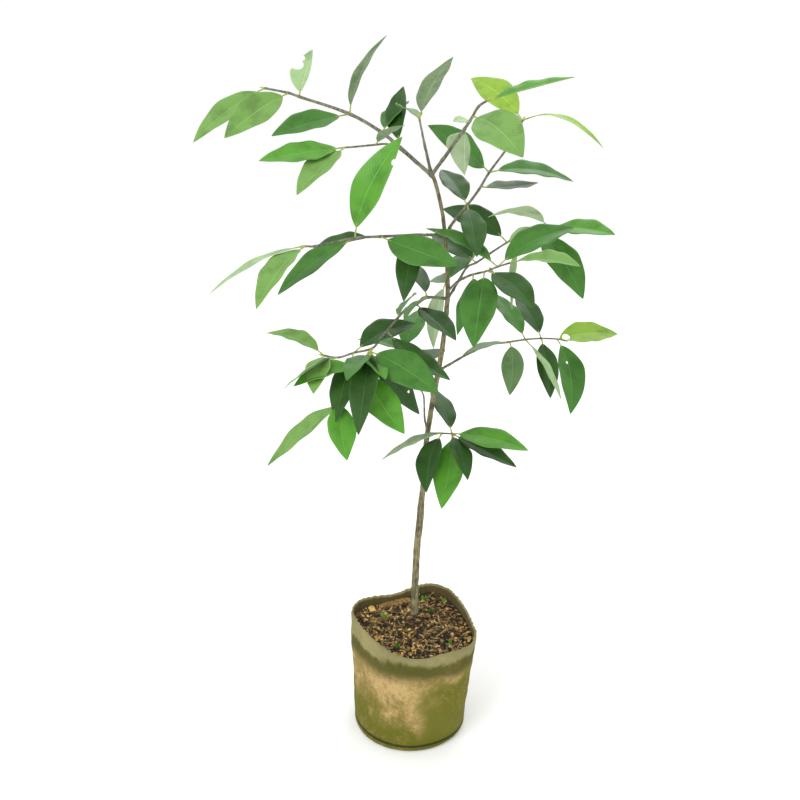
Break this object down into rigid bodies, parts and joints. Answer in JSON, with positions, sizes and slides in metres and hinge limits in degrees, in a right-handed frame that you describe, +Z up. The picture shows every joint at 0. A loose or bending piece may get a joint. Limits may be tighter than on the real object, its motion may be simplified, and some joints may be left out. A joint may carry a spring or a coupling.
{
  "type": "potted garcinia oblongifolia",
  "caption": "Young garcinia sapling with a thin leaning trunk and sparse glossy leaves on long side shoots, in a round felt grow bag filled with bark mulch.",
  "frame": {"origin": "middle of the bag's flat underside", "axes": "+Z up along the trunk, -Y towards the side that faces the viewer, +X to the viewer's right"},
  "size_m": [0.4459, 0.302, 0.756],
  "materials": {
    "felt": "matt fuzzy felt",
    "soil": "rough",
    "trunk_bark": "matt bark",
    "bough_bark": "matt bark",
    "leaves": "satin leaf"
  },
  "bodies": {
    "root": {"bough_back_right": "bough_bark", "bough_crown_left": "bough_bark", "bough_crown_right": "bough_bark", "bough_crown_tip": "bough_bark", "bough_front_left": "bough_bark", "bough_front_right": "bough_bark", "bough_low_back": "bough_bark", "bough_low_left": "bough_bark", "bough_low_right": "bough_bark", "bough_middle_right": "bough_bark", "foliage_back_right": "leaves", "foliage_crown_left": "leaves", "foliage_crown_right": "leaves", "foliage_crown_tip": "leaves", "foliage_front_left": "leaves", "foliage_front_right": "leaves", "foliage_inner_back": "leaves", "foliage_low_back": "leaves", "foliage_low_left": "leaves", "foliage_low_right": "leaves", "foliage_lowest": "leaves", "foliage_middle_right": "leaves", "foliage_young_left": "leaves", "grow_bag": "felt", "soil": "soil", "trunk": "trunk_bark"}
  },
  "joints": []
}
